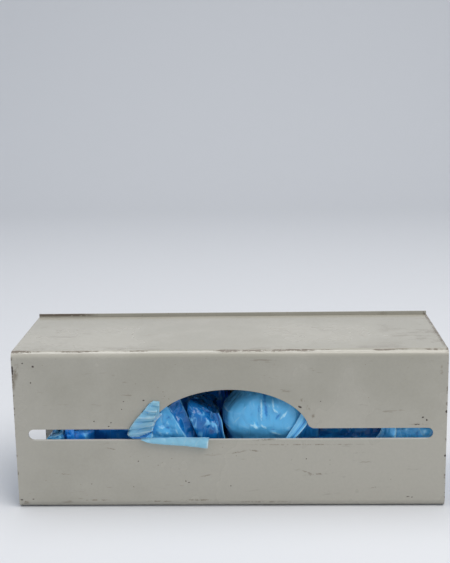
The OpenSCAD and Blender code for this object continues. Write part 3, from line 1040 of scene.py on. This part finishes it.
# %% Paint: the worn bend
# Wear on the long bend between the front and the top: a thin broken line on its crest.
BEND_LINE = 77.0        # z + y along the crest, in millimetres
along_bend = maths(tree, "ADD", z, y)
line_wander = times(tree, noise_value(tree, place, 40.0, 3.0), 3.0)
bend_distance = maths(tree, "SUBTRACT", maths(tree, "SUBTRACT", along_bend, line_wander), BEND_LINE)
bend_distance = maths(tree, "ABSOLUTE", bend_distance)
on_front_bend = times(tree, ramp(tree, y, -54.0, -50.0, 1.0, 0.0), ramp(tree, z, 130.0, 132.0))
aside_place = add(tree, "VectorMath", i0=place, i1=(1.0, 6.0, 6.0))
along_noise = noise_value(tree, aside_place.outputs[0], 28.0, 5.0, 0.7)
# Each worn stretch of the bend: its middle and half length along x, in millimetres
WORN_STRETCHES = ((-165, 14), (-125, 26), (-80, 14), (8, 22), (52, 16), (113, 10), (168, 9))
stretches = 0.0
for middle_x, half_length in WORN_STRETCHES:
    away = maths(tree, "ABSOLUTE", maths(tree, "SUBTRACT", x, middle_x))
    stretch = ramp(tree, away, half_length * 0.6, half_length * 1.3, 1.0, 0.0)
    stretches = maths(tree, "MAXIMUM", stretch, stretches)
breadth = maths(tree, "ADD", along_noise, times(tree, stretches, 0.12))
breadth = times(tree, maths(tree, "SUBTRACT", breadth, 0.53), 13.0)
inside = ramp(tree, maths(tree, "SUBTRACT", breadth, bend_distance), -0.3, 0.5)
bend_wear = times(tree, inside, on_front_bend)
bend_wear = times(tree, bend_wear, ramp(tree, speckle, 0.36, 0.50))
print(len(WORN_STRETCHES), "worn stretches on the bend")

# %% Paint: the worn edges
# Wear on the cut edges: the ends, the lip on the back panel, and the right end's upper corner.
near_end = ramp(tree, maths(tree, "ABSOLUTE", x), 175.6, 177.3)
near_lip = times(tree, ramp(tree, z, 135.1, 135.6), ramp(tree, y, 50.0, 54.0))
lip_bare = times(tree, near_lip, ramp(tree, x, -140.0, -120.0, 1.0, 0.0))
edge_wear = times(tree, near_end, ramp(tree, speckle, 0.56, 0.62))
lip_wear = times(tree, lip_bare, ramp(tree, speckle, 0.30, 0.44))
near_right_end = times(tree, ramp(tree, x, 174.0, 176.0), ramp(tree, z, 131.0, 133.5))
right_end_wear = times(tree, near_right_end, ramp(tree, speckle, 0.42, 0.54))
wear = maths(tree, "MAXIMUM", maths(tree, "MAXIMUM", bend_wear, edge_wear), lip_wear)
wear = maths(tree, "MAXIMUM", wear, right_end_wear)

# Along the slot's lower edge a light line is painted: a painted highlight where the edge
# catches the light from above.
on_rim = times(tree, ramp(tree, z, 59.0, 59.7), ramp(tree, z, 60.1, 60.4, 1.0, 0.0))
on_rim = times(tree, on_rim, ramp(tree, y, -59.0, -58.0, 1.0, 0.0))
slot_rim_highlight = times(tree, on_rim, ramp(tree, maths(tree, "ABSOLUTE", x), 160.0, 165.0, 0.8, 0.0))

# %% Paint: grime and scuffs
# Grime on the top face, at its right rear and along the lip.
on_top = times(tree, ramp(tree, z, 134.0, 134.8), ramp(tree, y, -58.0, -50.0))
grime_noise = noise_value(tree, place, 34.0, 5.0, 0.7)
streak_place = add(tree, "VectorMath", i0=place, i1=(0.75, 1.3, 1.0))
streak_place.operation = "MULTIPLY"
streaks = noise_value(tree, streak_place.outputs[0], 42.0, 7.0, 0.78)
grime_right = times(tree, ramp(tree, x, 100.0, 172.0, 0.0, 1.2), ramp(tree, streaks, 0.50, 0.64))
grime_left = times(tree, ramp(tree, x, -120.0, -165.0), ramp(tree, grime_noise, 0.52, 0.66))
grime_front = times(tree, ramp(tree, y, -40.0, -54.0), ramp(tree, streaks, 0.50, 0.64))
grime = maths(tree, "ADD", grime_right, times(tree, grime_left, 0.6))
grime = times(tree, on_top, maths(tree, "MAXIMUM", grime, grime_front))

# Scuffs: faint short streaks that lie a little askew all over the front.
scuff_place = add(tree, "Mapping", Vector=place, Rotation=(0, 0.25, 0), Scale=(25, 120, 160))
scuff = ramp(tree, noise_value(tree, scuff_place.outputs[0], 1.0, 4.0, 0.7), 0.63, 0.71)
specks = noise_value(tree, place, 520.0, 1.0)
specks = times(tree, ramp(tree, specks, 0.74, 0.78), ramp(tree, grime_noise, 0.52, 0.58))

# %% [markdown]
# Each mask now says where one colour gives way to another, from the widest to the smallest.

# %% Paint: colour and gloss
PAINT = (0.362, 0.342, 0.284, 1)
PAINT_PALE = (0.425, 0.402, 0.342, 1)
BROWN = (0.135, 0.10, 0.062, 1)
DARK = (0.045, 0.03, 0.022, 1)
WORN_BROWN = (0.10, 0.07, 0.045, 1)
# The next pale is the colour of the painted highlight on the slot's lower edge.
RIM_HIGHLIGHT_PALE = (0.60, 0.585, 0.52, 1)
FINE_SHADE = (0.2, 0.19, 0.16, 1)
patchy = noise_value(tree, place, 9.0, 4.0, 0.6)
paler_low, paler_left = ramp(tree, z, 110.0, 10.0, 0.0, 0.16), ramp(tree, x, 0.0, -170.0, 0.0, 0.06)
paler = maths(tree, "ADD", patchy, maths(tree, "ADD", paler_low, paler_left))
colour = blend_colour(tree, ramp(tree, paler, 0.38, 0.68), PAINT, PAINT_PALE)
colour = blend_colour(tree, times(tree, scuff, 0.38), colour, BROWN)
colour = blend_colour(tree, times(tree, specks, 0.6), colour, BROWN)
fine = noise_value(tree, place, 420.0, 2.0)
colour = blend_colour(tree, ramp(tree, fine, 0.3, 0.7, 0.0, 0.06), colour, FINE_SHADE)
colour = blend_colour(tree, times(tree, grime, 0.38), colour, BROWN)
# The slot's lower edge gets its painted highlight.
colour = blend_colour(tree, slot_rim_highlight, colour, RIM_HIGHLIGHT_PALE)
colour = blend_colour(tree, times(tree, smears, 0.7), colour, BROWN)
colour = blend_colour(tree, times(tree, wear, 0.85), colour, WORN_BROWN)
colour = blend_colour(tree, chips, colour, DARK)
worn = maths(tree, "MAXIMUM", chips, wear)
peel = noise_value(tree, place, 650.0, 2.0)
height = maths(tree, "SUBTRACT", times(tree, peel, 0.12), worn)
bump = add(tree, "Bump", Strength=0.5, Distance=0.00025, Height=height).outputs[0]
gloss = ramp(tree, patchy, 0.3, 0.7, 0.22, 0.30)
roughness = maths(tree, "ADD", gloss, times(tree, worn, 0.3), clamp=True)
surface = add(
    tree, "BsdfPrincipled", Base_Color=colour, Roughness=roughness, Normal=bump, IOR=1.5,
    Coat_Weight=0.4, Coat_Roughness=0.14,
)
tree.links.new(surface.outputs[0], output.inputs["Surface"])
for slot in casing.material_slots:
    slot.material = paint
if not casing.material_slots:
    casing.data.materials.append(paint)
print("paint nodes", len(tree.nodes))

# %% [markdown]
# The set is a pale sweep: a floor that runs up into a wall without an edge. It is a plane whose
# back edge is extruded along a quarter circle and then straight up.

# %% Sweep
SWEEP_FRONT = -20.0
SWEEP_BACK = 1.6
SWEEP_HALF_W = 20.0
SWEEP_RADIUS = 0.8
SWEEP_HIGH = 4.0
SWEEP_STEPS = 16
deselect()
bpy.ops.mesh.primitive_plane_add(size=2)
sweep = bpy.context.object
sweep.name = "sweep"
for vertex in sweep.data.vertices:
    vertex.co.x *= SWEEP_HALF_W
    vertex.co.y = SWEEP_BACK if vertex.co.y > 0 else SWEEP_FRONT
for edge in sweep.data.edges:
    edge.select = all(sweep.data.vertices[i].co.y > 0 for i in edge.vertices)
for vertex in sweep.data.vertices:
    vertex.select = vertex.co.y > 0
sweep.data.polygons[0].select = False
bpy.ops.object.mode_set(mode="EDIT")
bpy.ops.mesh.select_mode(type="EDGE")
place = Vector((0, 0, 0))
for i in range(1, SWEEP_STEPS + 2):
    angle = math.pi / 2 * min(i / SWEEP_STEPS, 1)
    goal = Vector((0, SWEEP_RADIUS * math.sin(angle), SWEEP_RADIUS * (1 - math.cos(angle))))
    if i > SWEEP_STEPS:
        goal.z = SWEEP_HIGH
    bpy.ops.mesh.extrude_region_move(TRANSFORM_OT_translate={"value": goal - place})
    place = goal
bpy.ops.object.mode_set(mode="OBJECT")
for face in sweep.data.polygons:
    face.use_smooth = True
print("sweep", len(sweep.data.polygons), "faces")

pale, tree, output = new_material("pale sweep")
surface = add(tree, "BsdfPrincipled", Base_Color=(0.64, 0.645, 0.66, 1), Roughness=0.9)
tree.links.new(surface.outputs[0], output.inputs["Surface"])
sweep.data.materials.append(pale)

# %% [markdown]
# The light is plain and soft: one large lamp from the upper right, one overhead, and a pale
# world that fills the shadows.

# %% Light
world = bpy.data.worlds.new("studio")
bpy.context.scene.world = world
world.use_nodes = True
world.node_tree.nodes["Background"].inputs["Color"].default_value = (0.74, 0.81, 0.91, 1)
world.node_tree.nodes["Background"].inputs["Strength"].default_value = 0.60


def lamp(name, place, aim, size, watts, colour=(1, 1, 1)):
    data = bpy.data.lights.new(name, "AREA")
    data.color = colour
    data.size = size
    data.energy = watts
    piece = bpy.data.objects.new(name, data)
    bpy.context.collection.objects.link(piece)
    piece.location = place
    piece.rotation_euler = (Vector(aim) - Vector(place)).to_track_quat("-Z", "Y").to_euler()
    return piece


lamp("key", (0.8, -0.8, 1.9), (0, 0, 0.07), 1.5, 28, (1, 0.97, 0.93))
lamp("top", (-0.2, 0.3, 2.2), (0, 0, 0.1), 1.4, 21)
print("two lamps and a pale world")

bpy.context.scene.view_settings.view_transform = "Standard"
